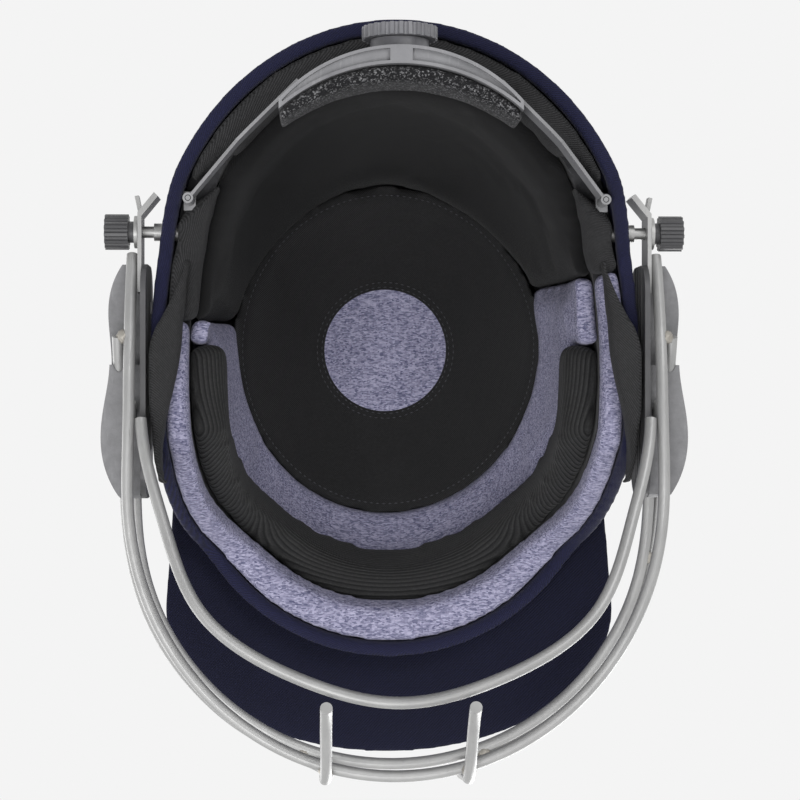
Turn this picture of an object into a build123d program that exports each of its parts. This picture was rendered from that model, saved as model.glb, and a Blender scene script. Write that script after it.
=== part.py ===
"""A cricket helmet, standing on its chin bar and on the adjuster cradle.

Millimetres. The wearer looks along -Y, +X is the wearer's left, Z is up and z = 0 is the table.
Every piece is made in the same place it has on the finished helmet and written to its own file.
"""

import os
from math import asin, atan2, cos, degrees, hypot, pi, radians, sin

from build123d import *

# Overall form of the shell, outer cloth surface
SHELL_HALF_WIDTH = 102.5
SHELL_FRONT = 103.5
SHELL_REAR = 112.3
SHELL_RISE = 135.0
FRONT_CENTRE_Y = -20.0
REAR_CENTRE_Y = 46.0
CROWN_Y = 13.0
EQUATOR_Z = 90.0
FORM_LOW_Z = -30.0
FORM_STEP_Z = 40.0
OUTLINE_POINTS = 28
LEVEL_ANGLES = (0, 9, 18, 28, 38, 48, 57, 65, 72, 78, 83, 87)

# The whole helmet is moved along Y by this, so that its box is centred on the origin
CENTRE_SHIFT_Y = 2.75

# Height of the lower rim, from the back of the neck to the brow
RIM_REAR_Z = 36.0
RIM_REAR_END_Y = 92.0
RIM_EAR_Z = 57.0
RIM_EAR_BACK_Y = 62.0
RIM_EAR_FRONT_Y = -20.0
RIM_BROW_Z = 125.0
RIM_BROW_Y = -70.0
RIM_ROUNDING = 14.0
BEYOND = 180.0
WIDE = 150.0

# Layers, as depths below the outer surface
GAP = 0.3
COVER_THICK = 1.2
HARD_THICK = 3.5
FOAM_THICK = 10.5
PAD_THICK = 10.0
BINDING_WIDTH = 6.0
BINDING_HEIGHT = 5.0
HARD_OUT = COVER_THICK + GAP
HARD_IN = HARD_OUT + HARD_THICK
FOAM_OUT = HARD_IN + GAP
FOAM_IN = FOAM_OUT + FOAM_THICK
PAD_OUT = FOAM_IN + GAP
PAD_IN = PAD_OUT + PAD_THICK
CUSHION_OUT = BINDING_WIDTH + GAP

# Soft ring just inside the rim
CUSHION_LOW = 0.5
CUSHION_TOP = 12.3
CUSHION_SIDE_IN = 15.8
CUSHION_FRONT_IN = 22.0
BAND_SIDE_IN = 19.0
BAND_REAR_IN = 20.0
LINER_LOW = CUSHION_TOP + GAP

# Sweatband roll at the forehead
SWEAT_IN = 32.0
SWEAT_TOP = 30.0
SWEAT_END_Y = 24.0

# Where the speckled front trim meets the black rear trim, a plane turned a little about Z
TRIM_SPLIT_Y = 44.0
TRIM_SPLIT_TURN = 6.5

# Crown pad, cut by a cylinder along X so that its edge stands square to the liner
CROWN_PAD_Y = 24.0
CROWN_HALF_WIDTH = 72.6
CROWN_HALF_LENGTH = 79.0
PATCH_RADIUS = 30.0
PATCH_Y = 24.5
PATCH_THICK = 1.5

# Side pads under the rim at the ears
SIDE_PAD_OUT = 0.5
SIDE_PAD_IN = 14.0
SIDE_PAD_Y = 12.0
SIDE_PAD_HALF_LENGTH = 48.0
SIDE_PAD_DROP = 8.0

# Peak
PEAK_CENTRE_Y = -95.0
PEAK_HALF_WIDTH = 103.0
PEAK_REACH = 68.8
PEAK_ROOT_Z = 139.0
PEAK_ROOT_Y = -114.0
PEAK_SLOPE = 10.0
PEAK_ARCH_RADIUS = 260.0
PEAK_COVER_THICK = 1.0
PEAK_BOARD_THICK = 2.2
PEAK_EDGE = 1.6
PEAK_WING_Y = -32.0
PEAK_WING_X = 99.5
PEAK_ALONG = 240.0

# Wires of the face guard
WIRE_RADIUS = 2.5
BAR_X = 112.6
BAR_REACH_Y = -158.0
BAR_TURN_Y = -40.0
BAR_Z = 42.0
BAR_END_Y = 62.0
BAR_END_Z = 63.0
BAR_SIDE_YZ = ((40.0, 53.5), (14.0, 47.0), (-14.0, 43.2))
UPPER_REACH_Y = -160.5
UPPER_TURN_Y = -50.0
UPPER_Z = 85.0
UPPER_SIDE_YZ = ((-32.0, 76.0), (-14.0, 62.0), (-1.0, 51.3))
CHIN_POINTS = ((107.4, -8.0, 43.4), (105.6, -20.0, 38.6), (97.0, -49.5, 28.0), (81.2, -85.3, 15.0),
               (40.1, -112.3, 6.2), (0, -121.6, 4.7))
UPRIGHT_X = 30.0
UPRIGHT_YZ = ((-123.0, 1.35), (-140.0, 20.3), (-157.4, 38.5), (-161.2, 60.0), (-161.8, 78.0))
SIDE_WIRE_X = 117.7
SIDE_WIRE_Z = 89.0
SIDE_WIRE_OUT = 4.3
SIDE_WIRE_YZ = ((-46.0, 86.0), (-25.0, 77.0), (0, 64.0), (27.0, 51.6))
ARC_SHARES = (0.06, 0.2, 0.36, 0.52, 0.68, 0.84)

# Hinge line of the face guard, through both thumb screws
HINGE_Y = 72.0
HINGE_Z = 65.0

# End brackets of the frame bar, bent strips
BRACKET_OUT_X = 110.0
BRACKET_THICK = 1.7
BRACKET_FRONT_Y = 46.0
BRACKET_BEND_Y = 80.0
BRACKET_TIP_X = 103.0
BRACKET_TIP_Y = 88.5
BRACKET_HEIGHT = 16.0
BRACKET_HOLE = 2.9
TAB_LENGTH = 10.0
TAB_HEIGHT = 6.0
TAB_TURN = 12.0
TAB_X = 110.2
TAB_Y = 83.0

# Thumb screws
STUD_RADIUS = 2.5
STUD_IN_X = 93.5
SPACER_RADIUS = 7.0
SPACER_THICK = 1.5
KNOB_NECK_RADIUS = 4.6
KNOB_NECK = 2.2
KNOB_RADIUS = 7.6
KNOB_LENGTH = 10.0
KNOB_FLUTES = 14
KNOB_FLUTE_RADIUS = 1.1
TEE_FLANGE_RADIUS = 6.5
TEE_FLANGE_THICK = 1.4
TEE_IN_X = 91.0
TEE_OUT_X = 103.4
TEE_BARREL_RADIUS = 3.8

# Ear guards
EAR_BACK_Y = 58.0
EAR_WAIST_Y = 15.0
EAR_FRONT_Y = -42.0
EAR_IN_X = 108.5
EAR_BACK_X = 117.0
EAR_REAR_LOBE_X = 123.0
EAR_REAR_LOBE_Y = 38.0
EAR_WAIST_X = 121.6
EAR_FRONT_LOBE_X = 124.6
EAR_FRONT_LOBE_Y = -6.0
EAR_FRONT_X = 117.0
EAR_TOP_Z = 88.0
EAR_LOW_Z = 49.0
EAR_REAR_LOW_Z = 64.0
EAR_FRONT_LOW_Z = 55.0
EAR_ROUNDING = 12.0
EAR_CLEAR = 0.25
INNER_X = 105.9
INNER_THICK = 2.3
INNER_GROOVE_ZS = (58.0, 64.0, 70.0, 76.0)
INNER_GROOVE = 2.4
INNER_GROOVE_DEEP = 0.7
EAR_ARC_POINTS = 4
EAR_SIDE_WIRE_POINTS = 6
EAR_SCREW_YZ = ((40.0, 78.0), (-24.0, 80.0))
EAR_SCREW_RADIUS = 1.4
EAR_SCREW_LENGTH = 8.0
EAR_SCREW_HEAD = 2.7
EAR_SCREW_HEAD_DEEP = 1.4

# Size adjuster behind the neck
DIAL_Z = 18.0
CRADLE_END_X = 49.0
CRADLE_OUT_Y = 142.0
CRADLE_IN_Y = 134.5
CRADLE_END_OUT_Y = 120.0
CRADLE_END_IN_Y = 116.0
CRADLE_TOP_Z = 30.0
CRADLE_WALL = 1.3
CRADLE_RECESS = 2.0
CRADLE_RIB = 9.0
NECK_FOAM_THICK = 5.5
NECK_FOAM_LOW_Z = 1.0
NECK_FOAM_TOP_Z = 31.0
HOUSING_RADIUS = 12.0
HOUSING_LENGTH = 4.2
HOUSING_WALL = 1.4
HOUSING_CAVITY_RADIUS = 9.6
SHAFT_RADIUS = 3.0
DIAL_RADIUS = 15.5
DIAL_LENGTH = 5.0
DIAL_FLUTES = 26
DIAL_FLUTE_RADIUS = 1.1
RATCHET_RADIUS = 6.2
RATCHET_TEETH = 16
RATCHET_TOOTH_RADIUS = 0.8
RATCHET_THICK = 1.8
CLICK_IN_RADIUS = 7.1
CLICK_THICK = 0.8

# Straps from the cradle to the slots inside the rim
STRAP_PIVOT_X = 87.3
STRAP_PIVOT_Y = 84.0
STRAP_THICK = 1.3
STRAP_STAND_OFF = 1.3
STRAP_PAST = 8.0
STRAP_LOW = ((2.0, 36.0), (30.0, 12.5), (36.0, 11.5))
STRAP_HEIGHT = 13.0
STRAP_EYE_RADIUS = 2.2
STRAP_PIN_RADIUS = 1.0
ANCHOR_WIDTH = 5.0
ANCHOR_LENGTH = 8.0
ANCHOR_THICK = 3.0
STRAP_ROOM = 7.0
STRAP_ROOM_LENGTH = 34.0
STRAP_ROOM_TOP_Z = 54.0


def plan(half_width, front, rear, share, z):
    """One level of the shell form: two half ellipses joined by nearly straight sides."""
    points = []
    for k in range(OUTLINE_POINTS):
        turn = 2 * pi * (k + 0.5) / OUTLINE_POINTS
        if cos(turn) > 0:
            y = REAR_CENTRE_Y + rear * cos(turn)
        else:
            y = FRONT_CENTRE_Y + front * cos(turn)
        points.append((half_width * sin(turn) * share, CROWN_Y + (y - CROWN_Y) * share))
    return Pos(0, 0, z) * make_face(Spline(points, periodic=True))


def form(side, front=None, rear=None, top=None):
    """The solid inside the outer surface, drawn in by these depths."""
    front = side if front is None else front
    rear = side if rear is None else rear
    top = side if top is None else top
    sizes = (SHELL_HALF_WIDTH - side, SHELL_FRONT - front, SHELL_REAR - rear)
    rise = SHELL_RISE - top
    low = [plan(*sizes, 1, FORM_LOW_Z + FORM_STEP_Z * k) for k in range(3)]
    dome = [plan(*sizes, cos(radians(a)), EQUATOR_Z + rise * sin(radians(a))) for a in LEVEL_ANGLES]
    return loft(low + dome)


def layer(outer, inner):
    """A skin between two depths."""
    return form(*outer) - form(*inner)


def below_rim(raised):
    """Everything under the rim line, or under a line this far above it."""
    corners = [
        (BEYOND, RIM_REAR_Z),
        (RIM_REAR_END_Y, RIM_REAR_Z),
        (RIM_EAR_BACK_Y, RIM_EAR_Z),
        (RIM_EAR_FRONT_Y, RIM_EAR_Z),
        (RIM_BROW_Y, RIM_BROW_Z),
        (-BEYOND, RIM_BROW_Z),
    ]
    corners = [(BEYOND, -BEYOND), *corners, (-BEYOND, -BEYOND)]
    outline = FilletPolyline(corners, radius=RIM_ROUNDING, close=True)
    face = make_face(outline)
    if raised:
        face = offset(face, raised)
    return extrude(Plane.YZ * face, WIDE, both=True)


def rim_strip(low, high):
    """The slab between two lines above the rim."""
    return below_rim(high) - below_rim(low)


def front_of_trim(shift):
    """The half space in front of the trim split, moved forward by shift."""
    block = Box(2 * BEYOND, 2 * BEYOND, 2 * BEYOND)
    return Pos(0, TRIM_SPLIT_Y, 0) * Rot(0, 0, -TRIM_SPLIT_TURN) * Pos(0, -BEYOND - shift, EQUATOR_Z) * block


def both_sides(piece):
    """The wearer's left piece and its mirror image."""
    return piece, mirror(piece, Plane.YZ)


def along_x(radius, start, end, y, z):
    """A round bar along X between two X values."""
    return Pos((start + end) / 2, y, z) * Rot(0, 90, 0) * Cylinder(radius, abs(end - start))


def along_y(radius, start, end, x, z):
    """A round bar along Y between two Y values."""
    return Pos(x, (start + end) / 2, z) * Rot(90, 0, 0) * Cylinder(radius, abs(end - start))


def wire(points, radius=WIRE_RADIUS):
    """A round wire along a smooth curve."""
    path = Spline(points)
    return sweep(Plane(path @ 0, z_dir=path % 0) * Circle(radius), path)


def front_arc(half_width, turn_y, reach_y, z, shares):
    """Points of a quarter ellipse from the side, at turn_y, towards the front middle."""
    points = []
    for share in shares:
        angle = share * pi / 2
        points.append((half_width * cos(angle), turn_y - (turn_y - reach_y) * sin(angle), z))
    return points


def whole_bar(half, middle):
    """The points of a bar that crosses the front, from its left half."""
    return [*half, middle, *[(-x, y, z) for x, y, z in reversed(half)]]


# Shell and its layers
nodes = {}
nodes["rim_binding"] = layer((0,), (BINDING_WIDTH,)) & rim_strip(0, BINDING_HEIGHT)
shell_low = below_rim(BINDING_HEIGHT + GAP)
cloth_cover = layer((0,), (COVER_THICK,)) - shell_low
hard_shell = layer((HARD_OUT,), (HARD_IN,)) - shell_low
foam_liner = layer((FOAM_OUT,), (FOAM_IN,)) - below_rim(LINER_LOW)

# Tee nuts in the shell, and the room they take
tee_nut = along_x(TEE_FLANGE_RADIUS, TEE_IN_X, TEE_IN_X + TEE_FLANGE_THICK, HINGE_Y, HINGE_Z)
tee_nut += along_x(TEE_BARREL_RADIUS, TEE_IN_X, TEE_OUT_X, HINGE_Y, HINGE_Z)
tee_nut -= along_x(STUD_RADIUS + GAP, TEE_IN_X - GAP, TEE_OUT_X + GAP, HINGE_Y, HINGE_Z)
nodes["tee_nut_left"], nodes["tee_nut_right"] = both_sides(tee_nut)
barrel_room = along_x(TEE_BARREL_RADIUS + GAP, -WIDE, WIDE, HINGE_Y, HINGE_Z)
flange_room = along_x(TEE_FLANGE_RADIUS + GAP, TEE_IN_X - GAP, WIDE, HINGE_Y, HINGE_Z)
cloth_cover -= barrel_room
hard_shell -= barrel_room
for room in both_sides(flange_room):
    foam_liner -= room
nodes["cloth_cover"] = cloth_cover
nodes["hard_shell"] = hard_shell
nodes["foam_liner"] = foam_liner

# Straps: the line from the pivot that just clears the back of the cradle
cradle_sag = CRADLE_OUT_Y - CRADLE_END_OUT_Y
cradle_radius = (CRADLE_END_X**2 + cradle_sag**2) / (2 * cradle_sag)
cradle_centre_y = CRADLE_OUT_Y - cradle_radius
reach = hypot(STRAP_PIVOT_X, STRAP_PIVOT_Y - cradle_centre_y)
lean = atan2(STRAP_PIVOT_Y - cradle_centre_y, STRAP_PIVOT_X)
strap_turn = pi - asin((cradle_radius + STRAP_STAND_OFF) / reach) + lean
strap_length = reach * cos(asin((cradle_radius + STRAP_STAND_OFF) / reach)) + STRAP_PAST
strap_plane = Plane(
    origin=(STRAP_PIVOT_X, STRAP_PIVOT_Y, 0),
    x_dir=(cos(strap_turn), sin(strap_turn), 0),
    z_dir=(sin(strap_turn), -cos(strap_turn), 0),
)
low_edge = [*STRAP_LOW, (strap_length, STRAP_LOW[-1][1])]
high_edge = [(s, z + STRAP_HEIGHT) for s, z in reversed(low_edge)]
strap_side = strap_plane * make_face(Polyline([*low_edge, *high_edge], close=True))
strap = extrude(strap_side, STRAP_THICK / 2, both=True)
eye_low_z = STRAP_LOW[0][1]
eye_place = Pos(STRAP_PIVOT_X, STRAP_PIVOT_Y, eye_low_z + STRAP_HEIGHT / 2)
strap += eye_place * Cylinder(STRAP_EYE_RADIUS, STRAP_HEIGHT)
strap -= eye_place * Cylinder(STRAP_PIN_RADIUS + GAP, STRAP_HEIGHT + 2 * GAP)
nodes["adjuster_strap_left"], nodes["adjuster_strap_right"] = both_sides(strap)
anchor_z = eye_low_z + STRAP_HEIGHT + GAP
anchor_plate = Box(ANCHOR_WIDTH, ANCHOR_LENGTH, ANCHOR_THICK)
anchor = Pos(STRAP_PIVOT_X, STRAP_PIVOT_Y, anchor_z + ANCHOR_THICK / 2) * anchor_plate
anchor += eye_place * Pos(0, 0, GAP / 2) * Cylinder(STRAP_PIN_RADIUS, STRAP_HEIGHT + GAP)
nodes["strap_anchor_left"], nodes["strap_anchor_right"] = both_sides(anchor)
room_place = Pos(STRAP_PIVOT_X, STRAP_PIVOT_Y, STRAP_ROOM_TOP_Z / 2) * Rot(0, 0, degrees(strap_turn))
room_box = Box(STRAP_ROOM_LENGTH, STRAP_ROOM, STRAP_ROOM_TOP_Z)
strap_room = room_place * Pos(STRAP_ROOM_LENGTH / 2 - STRAP_ROOM, 0, 0) * room_box
strap_room += Pos(STRAP_PIVOT_X, STRAP_PIVOT_Y, STRAP_ROOM_TOP_Z / 2) * Box(
    ANCHOR_WIDTH + 2 * GAP, ANCHOR_LENGTH + 2 * GAP, STRAP_ROOM_TOP_Z
)

# Soft pieces inside the shell
ring_room = rim_strip(CUSHION_LOW, CUSHION_TOP)
cushion_ring = layer((CUSHION_OUT,), (CUSHION_SIDE_IN, CUSHION_FRONT_IN, BAND_REAR_IN)) & ring_room
nodes["brow_cushion"] = cushion_ring & front_of_trim(0)
band_ring = layer((CUSHION_OUT,), (BAND_SIDE_IN, CUSHION_FRONT_IN, BAND_REAR_IN)) & ring_room
rear_band = band_ring - front_of_trim(-GAP)
for room in [*both_sides(strap_room), *both_sides(flange_room)]:
    rear_band -= room
band_pieces = sorted(sorted(rear_band.solids(), key=lambda s: s.volume)[-3:], key=lambda s: s.center().X)
nodes["side_band_right"], nodes["rear_comfort_band"], nodes["side_band_left"] = band_pieces

sweat_room = Pos(0, SWEAT_END_Y - BEYOND, EQUATOR_Z) * Box(2 * BEYOND, 2 * BEYOND, 2 * BEYOND)
nodes["sweatband"] = layer((PAD_OUT + GAP,), (SWEAT_IN,)) & rim_strip(LINER_LOW, SWEAT_TOP) & sweat_room
pad_skin = layer((PAD_OUT,), (PAD_IN,)) - below_rim(LINER_LOW)


def crown_block(spare):
    """Space of the crown pad, an upright oval column."""
    oval = Ellipse(CROWN_HALF_WIDTH + spare, CROWN_HALF_LENGTH + spare)
    return Pos(0, CROWN_PAD_Y, EQUATOR_Z) * extrude(oval, SHELL_RISE)


nodes["crown_pad"] = pad_skin & crown_block(0)
sweat_clear = below_rim(SWEAT_TOP + GAP) & (Pos(0, GAP, 0) * sweat_room)
nodes["front_wall_pad"] = (pad_skin & front_of_trim(0)) - sweat_clear - crown_block(GAP)
nodes["rear_wall_pad"] = pad_skin - crown_block(GAP) - front_of_trim(-GAP)
patch_cut = Pos(0, PATCH_Y, EQUATOR_Z + SHELL_RISE / 2) * Cylinder(PATCH_RADIUS, SHELL_RISE)
nodes["crown_patch"] = layer((PAD_IN + GAP,), (PAD_IN + GAP + PATCH_THICK,)) & patch_cut

pad_profile = Plane.YZ * (Pos(SIDE_PAD_Y, RIM_EAR_Z) * Ellipse(SIDE_PAD_HALF_LENGTH, SIDE_PAD_DROP))
pad_block = extrude(pad_profile, WIDE)
side_pad = (layer((SIDE_PAD_OUT,), (SIDE_PAD_IN,)) & pad_block & below_rim(-GAP)).solids()[0]
nodes["side_pad_left"], nodes["side_pad_right"] = both_sides(side_pad)

# Peak: a board inside a cloth cover that is open at the root
def peak_block(inset):
    """The peak's outline seen from above, drawn up: a half oval with wings back along the shell."""
    half_width = PEAK_HALF_WIDTH - inset
    wing = PEAK_WING_X - inset
    front_corners = [(-half_width, PEAK_CENTRE_Y), (half_width, PEAK_CENTRE_Y)]
    corners = [*front_corners, (wing, PEAK_WING_Y), (-wing, PEAK_WING_Y)]
    plan = Pos(0, PEAK_CENTRE_Y) * Ellipse(half_width, PEAK_REACH - inset)
    return extrude(plan + make_face(Polyline(corners, close=True)), 2 * WIDE)


def peak_slab(low, high):
    """The arched and sloping sheet of the peak, between two heights over its underside."""
    centre_z = PEAK_ROOT_Z - PEAK_ARCH_RADIUS
    slope = Pos(0, PEAK_ROOT_Y, centre_z) * Rot(PEAK_SLOPE, 0, 0) * Rot(90, 0, 0)
    outer = slope * Cylinder(PEAK_ARCH_RADIUS + high, PEAK_ALONG)
    inner = slope * Cylinder(PEAK_ARCH_RADIUS + low, 2 * PEAK_ALONG)
    return (outer - inner) & Pos(0, PEAK_CENTRE_Y, RIM_BROW_Z) * Box(2 * WIDE, 2 * WIDE, WIDE)


board_low = PEAK_COVER_THICK + GAP
board_high = board_low + PEAK_BOARD_THICK
cover_high = board_high + GAP + PEAK_COVER_THICK
root_form = form(-GAP)
board_room = peak_slab(board_low - GAP, board_high + GAP) & peak_block(PEAK_EDGE - GAP)
peak_cover = (peak_slab(0, cover_high) & peak_block(0)) - board_room - root_form
peak_board = (peak_slab(board_low, board_high) & peak_block(PEAK_EDGE)) - root_form
nodes["peak_cover"] = max(peak_cover.solids(), key=lambda s: s.volume)
nodes["peak_board"] = max(peak_board.solids(), key=lambda s: s.volume)

# Face guard wires
bar_half = [(BAR_X, BAR_END_Y, BAR_END_Z)] + [(BAR_X, y, z) for y, z in BAR_SIDE_YZ]
bar_half += front_arc(BAR_X, BAR_TURN_Y, BAR_REACH_Y, BAR_Z, ARC_SHARES)
frame_bar = wire(whole_bar(bar_half, (0, BAR_REACH_Y, BAR_Z)))
upper_half = [(BAR_X, y, z) for y, z in reversed(UPPER_SIDE_YZ)]
upper_half += front_arc(BAR_X, UPPER_TURN_Y, UPPER_REACH_Y, UPPER_Z, ARC_SHARES)
upper_bar = wire(whole_bar(upper_half, (0, UPPER_REACH_Y, UPPER_Z)))
chin_bar = wire(whole_bar(list(CHIN_POINTS[:-1]), CHIN_POINTS[-1]))
upright = [(UPRIGHT_X, y, z) for y, z in UPRIGHT_YZ]
side_reach_y = UPPER_REACH_Y - SIDE_WIRE_OUT
side_arc = front_arc(BAR_X + SIDE_WIRE_OUT, UPPER_TURN_Y, side_reach_y, SIDE_WIRE_Z, ARC_SHARES[:-1])
upright += reversed(side_arc[1:])
upright += [(SIDE_WIRE_X, y, z) for y, z in SIDE_WIRE_YZ]
side_wire = wire(upright)
nodes["frame_bar"] = frame_bar
nodes["upper_bar"] = upper_bar
nodes["chin_bar"] = chin_bar
nodes["upright_left"], nodes["upright_right"] = both_sides(side_wire)

# End brackets of the frame bar
strip = make_face(
    Polyline(
        [
            (BRACKET_OUT_X, BRACKET_FRONT_Y),
            (BRACKET_OUT_X, BRACKET_BEND_Y),
            (BRACKET_TIP_X, BRACKET_TIP_Y),
            (BRACKET_TIP_X - BRACKET_THICK, BRACKET_TIP_Y - BRACKET_THICK),
            (BRACKET_OUT_X - BRACKET_THICK, BRACKET_BEND_Y - BRACKET_THICK),
            (BRACKET_OUT_X - BRACKET_THICK, BRACKET_FRONT_Y),
        ],
        close=True,
    )
)
bracket = Pos(0, 0, HINGE_Z - BRACKET_HEIGHT / 2) * extrude(strip, BRACKET_HEIGHT)
tab = Box(BRACKET_THICK, TAB_LENGTH, TAB_HEIGHT)
bracket += Pos(TAB_X, TAB_Y, HINGE_Z + BRACKET_HEIGHT / 2 - TAB_HEIGHT / 2) * Rot(0, 0, -TAB_TURN) * tab
bracket -= along_x(BRACKET_HOLE, BRACKET_OUT_X - WIRE_RADIUS, BRACKET_OUT_X + WIRE_RADIUS, HINGE_Y, HINGE_Z)
nodes["bracket_left"], nodes["bracket_right"] = both_sides(bracket)

# Thumb screws
spacer_x = BRACKET_OUT_X + GAP
knob_x = spacer_x + SPACER_THICK + GAP
spacer = along_x(SPACER_RADIUS, spacer_x, spacer_x + SPACER_THICK, HINGE_Y, HINGE_Z)
spacer -= along_x(STUD_RADIUS + GAP, spacer_x - GAP, knob_x, HINGE_Y, HINGE_Z)
nodes["thumb_washer_left"], nodes["thumb_washer_right"] = both_sides(spacer)
knob_base_x = knob_x + KNOB_NECK
knob_face = Circle(KNOB_RADIUS)
for k in range(KNOB_FLUTES):
    knob_face -= Rot(0, 0, 360 * k / KNOB_FLUTES) * Pos(KNOB_RADIUS, 0) * Circle(KNOB_FLUTE_RADIUS)
knob = Pos(knob_base_x, HINGE_Y, HINGE_Z) * Rot(0, 90, 0) * extrude(knob_face, KNOB_LENGTH)
knob += along_x(KNOB_NECK_RADIUS, knob_x, knob_base_x, HINGE_Y, HINGE_Z)
stud_end_x = knob_base_x + KNOB_LENGTH / 2
knob -= along_x(STUD_RADIUS, knob_x, stud_end_x, HINGE_Y, HINGE_Z)
nodes["thumb_knob_left"], nodes["thumb_knob_right"] = both_sides(knob)
stud = along_x(STUD_RADIUS, STUD_IN_X, stud_end_x, HINGE_Y, HINGE_Z)
nodes["thumb_stud_left"], nodes["thumb_stud_right"] = both_sides(stud)

# Ear guards: a grey outer moulding gripping the bars, a black inner plate and their screws
outer_line = Spline(
    (EAR_BACK_X, EAR_BACK_Y),
    (EAR_REAR_LOBE_X, EAR_REAR_LOBE_Y),
    (EAR_WAIST_X, EAR_WAIST_Y),
    (EAR_FRONT_LOBE_X, EAR_FRONT_LOBE_Y),
    (EAR_FRONT_X, EAR_FRONT_Y),
)
edge_line = Polyline(
    (EAR_FRONT_X, EAR_FRONT_Y), (EAR_IN_X, EAR_FRONT_Y), (EAR_IN_X, EAR_BACK_Y), (EAR_BACK_X, EAR_BACK_Y)
)
ear_face = make_face([*outer_line.edges(), *edge_line.edges()])
ear_height = EAR_TOP_Z - EAR_LOW_Z
ear_guard = Pos(0, 0, EAR_LOW_Z) * extrude(ear_face, ear_height)
low_rear = Pos(EAR_IN_X, EAR_BACK_Y, 0) * Box(
    WIDE, 2 * (EAR_BACK_Y - EAR_WAIST_Y), 2 * EAR_REAR_LOW_Z
)
low_front = Pos(EAR_IN_X, EAR_FRONT_Y, 0) * Box(
    WIDE, 2 * (EAR_WAIST_Y - EAR_FRONT_Y) + GAP, 2 * EAR_FRONT_LOW_Z
)
ear_guard -= low_rear + low_front
side_shape = RectangleRounded(EAR_BACK_Y - EAR_FRONT_Y, ear_height, EAR_ROUNDING)
side_block = extrude(
    Plane.YZ * (Pos((EAR_BACK_Y + EAR_FRONT_Y) / 2, EAR_TOP_Z - ear_height / 2) * side_shape), WIDE
)
ear_guard &= side_block
side_count = len(UPPER_SIDE_YZ) + EAR_ARC_POINTS
for points in (bar_half[:side_count + 1], upper_half[:side_count], upright[-EAR_SIDE_WIRE_POINTS:]):
    ear_guard -= wire(points, WIRE_RADIUS + EAR_CLEAR)
bracket_room = Pos(BRACKET_OUT_X - BRACKET_THICK / 2, BRACKET_FRONT_Y + BRACKET_HEIGHT, HINGE_Z) * Box(
    BRACKET_THICK + 2 * GAP, 2 * BRACKET_HEIGHT + 2 * GAP, BRACKET_HEIGHT + 2 * GAP
)
ear_guard -= bracket_room
ear_guard = max(ear_guard.solids(), key=lambda s: s.volume)

ear_middle_y = (EAR_BACK_Y + EAR_FRONT_Y) / 2
inner_plate = Pos(INNER_X + INNER_THICK / 2, ear_middle_y, EAR_TOP_Z - ear_height / 2) * Box(
    INNER_THICK, EAR_BACK_Y - EAR_FRONT_Y, ear_height
)
inner_plate &= side_block
for z in INNER_GROOVE_ZS:
    inner_plate -= Pos(INNER_X, (EAR_BACK_Y + EAR_FRONT_Y) / 2, z) * Box(
        2 * INNER_GROOVE_DEEP, BEYOND, INNER_GROOVE
    )
screws = []
for y, z in EAR_SCREW_YZ:
    head = Pos(INNER_X + EAR_SCREW_HEAD_DEEP / 2, y, z) * Rot(0, 90, 0) * Cone(
        EAR_SCREW_HEAD, EAR_SCREW_RADIUS, EAR_SCREW_HEAD_DEEP
    )
    room = Pos(INNER_X + EAR_SCREW_HEAD_DEEP / 2, y, z) * Rot(0, 90, 0) * Cone(
        EAR_SCREW_HEAD + GAP, EAR_SCREW_RADIUS + GAP, EAR_SCREW_HEAD_DEEP
    )
    inner_plate -= room + along_x(EAR_SCREW_RADIUS + GAP, INNER_X, INNER_X + INNER_THICK, y, z)
    shank = along_x(EAR_SCREW_RADIUS, INNER_X, INNER_X + EAR_SCREW_LENGTH, y, z)
    ear_guard -= along_x(EAR_SCREW_RADIUS, INNER_X, INNER_X + EAR_SCREW_LENGTH, y, z)
    screws.append(head + shank)
nodes["ear_guard_left"], nodes["ear_guard_right"] = both_sides(ear_guard)
nodes["ear_inner_plate_left"], nodes["ear_inner_plate_right"] = both_sides(inner_plate)
all_screws = [s for screw in screws for s in both_sides(screw)]
nodes["ear_guard_screws"] = Compound(children=[piece.solids()[0] for piece in all_screws])

# Adjuster cradle, its foam pad, the dial and its click
outer_arc = ThreePointArc(
    (-CRADLE_END_X, CRADLE_END_OUT_Y), (0, CRADLE_OUT_Y), (CRADLE_END_X, CRADLE_END_OUT_Y)
)
inner_arc = ThreePointArc(
    (-CRADLE_END_X, CRADLE_END_IN_Y), (0, CRADLE_IN_Y), (CRADLE_END_X, CRADLE_END_IN_Y)
)
end_left = Line((CRADLE_END_X, CRADLE_END_OUT_Y), (CRADLE_END_X, CRADLE_END_IN_Y))
end_right = Line((-CRADLE_END_X, CRADLE_END_OUT_Y), (-CRADLE_END_X, CRADLE_END_IN_Y))
cradle_face = make_face([*outer_arc.edges(), *end_left.edges(), *inner_arc.edges(), *end_right.edges()])
cradle = extrude(cradle_face, CRADLE_TOP_Z)
recess = extrude(offset(cradle_face, -CRADLE_WALL), CRADLE_RECESS)
recess -= Pos(0, CRADLE_IN_Y, 0) * Box(CRADLE_RIB, WIDE, WIDE)
cradle -= recess
housing_y = CRADLE_OUT_Y + GAP
shaft_in_y = housing_y + GAP
cavity_y = housing_y + HOUSING_LENGTH - HOUSING_WALL
dial_y = housing_y + HOUSING_LENGTH + GAP
nodes["cradle"] = cradle
housing = along_y(HOUSING_RADIUS, housing_y, housing_y + HOUSING_LENGTH, 0, DIAL_Z)
housing -= along_y(HOUSING_CAVITY_RADIUS, housing_y - GAP, cavity_y, 0, DIAL_Z)
housing -= along_y(SHAFT_RADIUS + GAP, housing_y, dial_y, 0, DIAL_Z)
nodes["dial_housing"] = housing
dial_face = Circle(DIAL_RADIUS)
for k in range(DIAL_FLUTES):
    dial_face -= Rot(0, 0, 360 * k / DIAL_FLUTES) * Pos(DIAL_RADIUS, 0) * Circle(DIAL_FLUTE_RADIUS)
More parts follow.
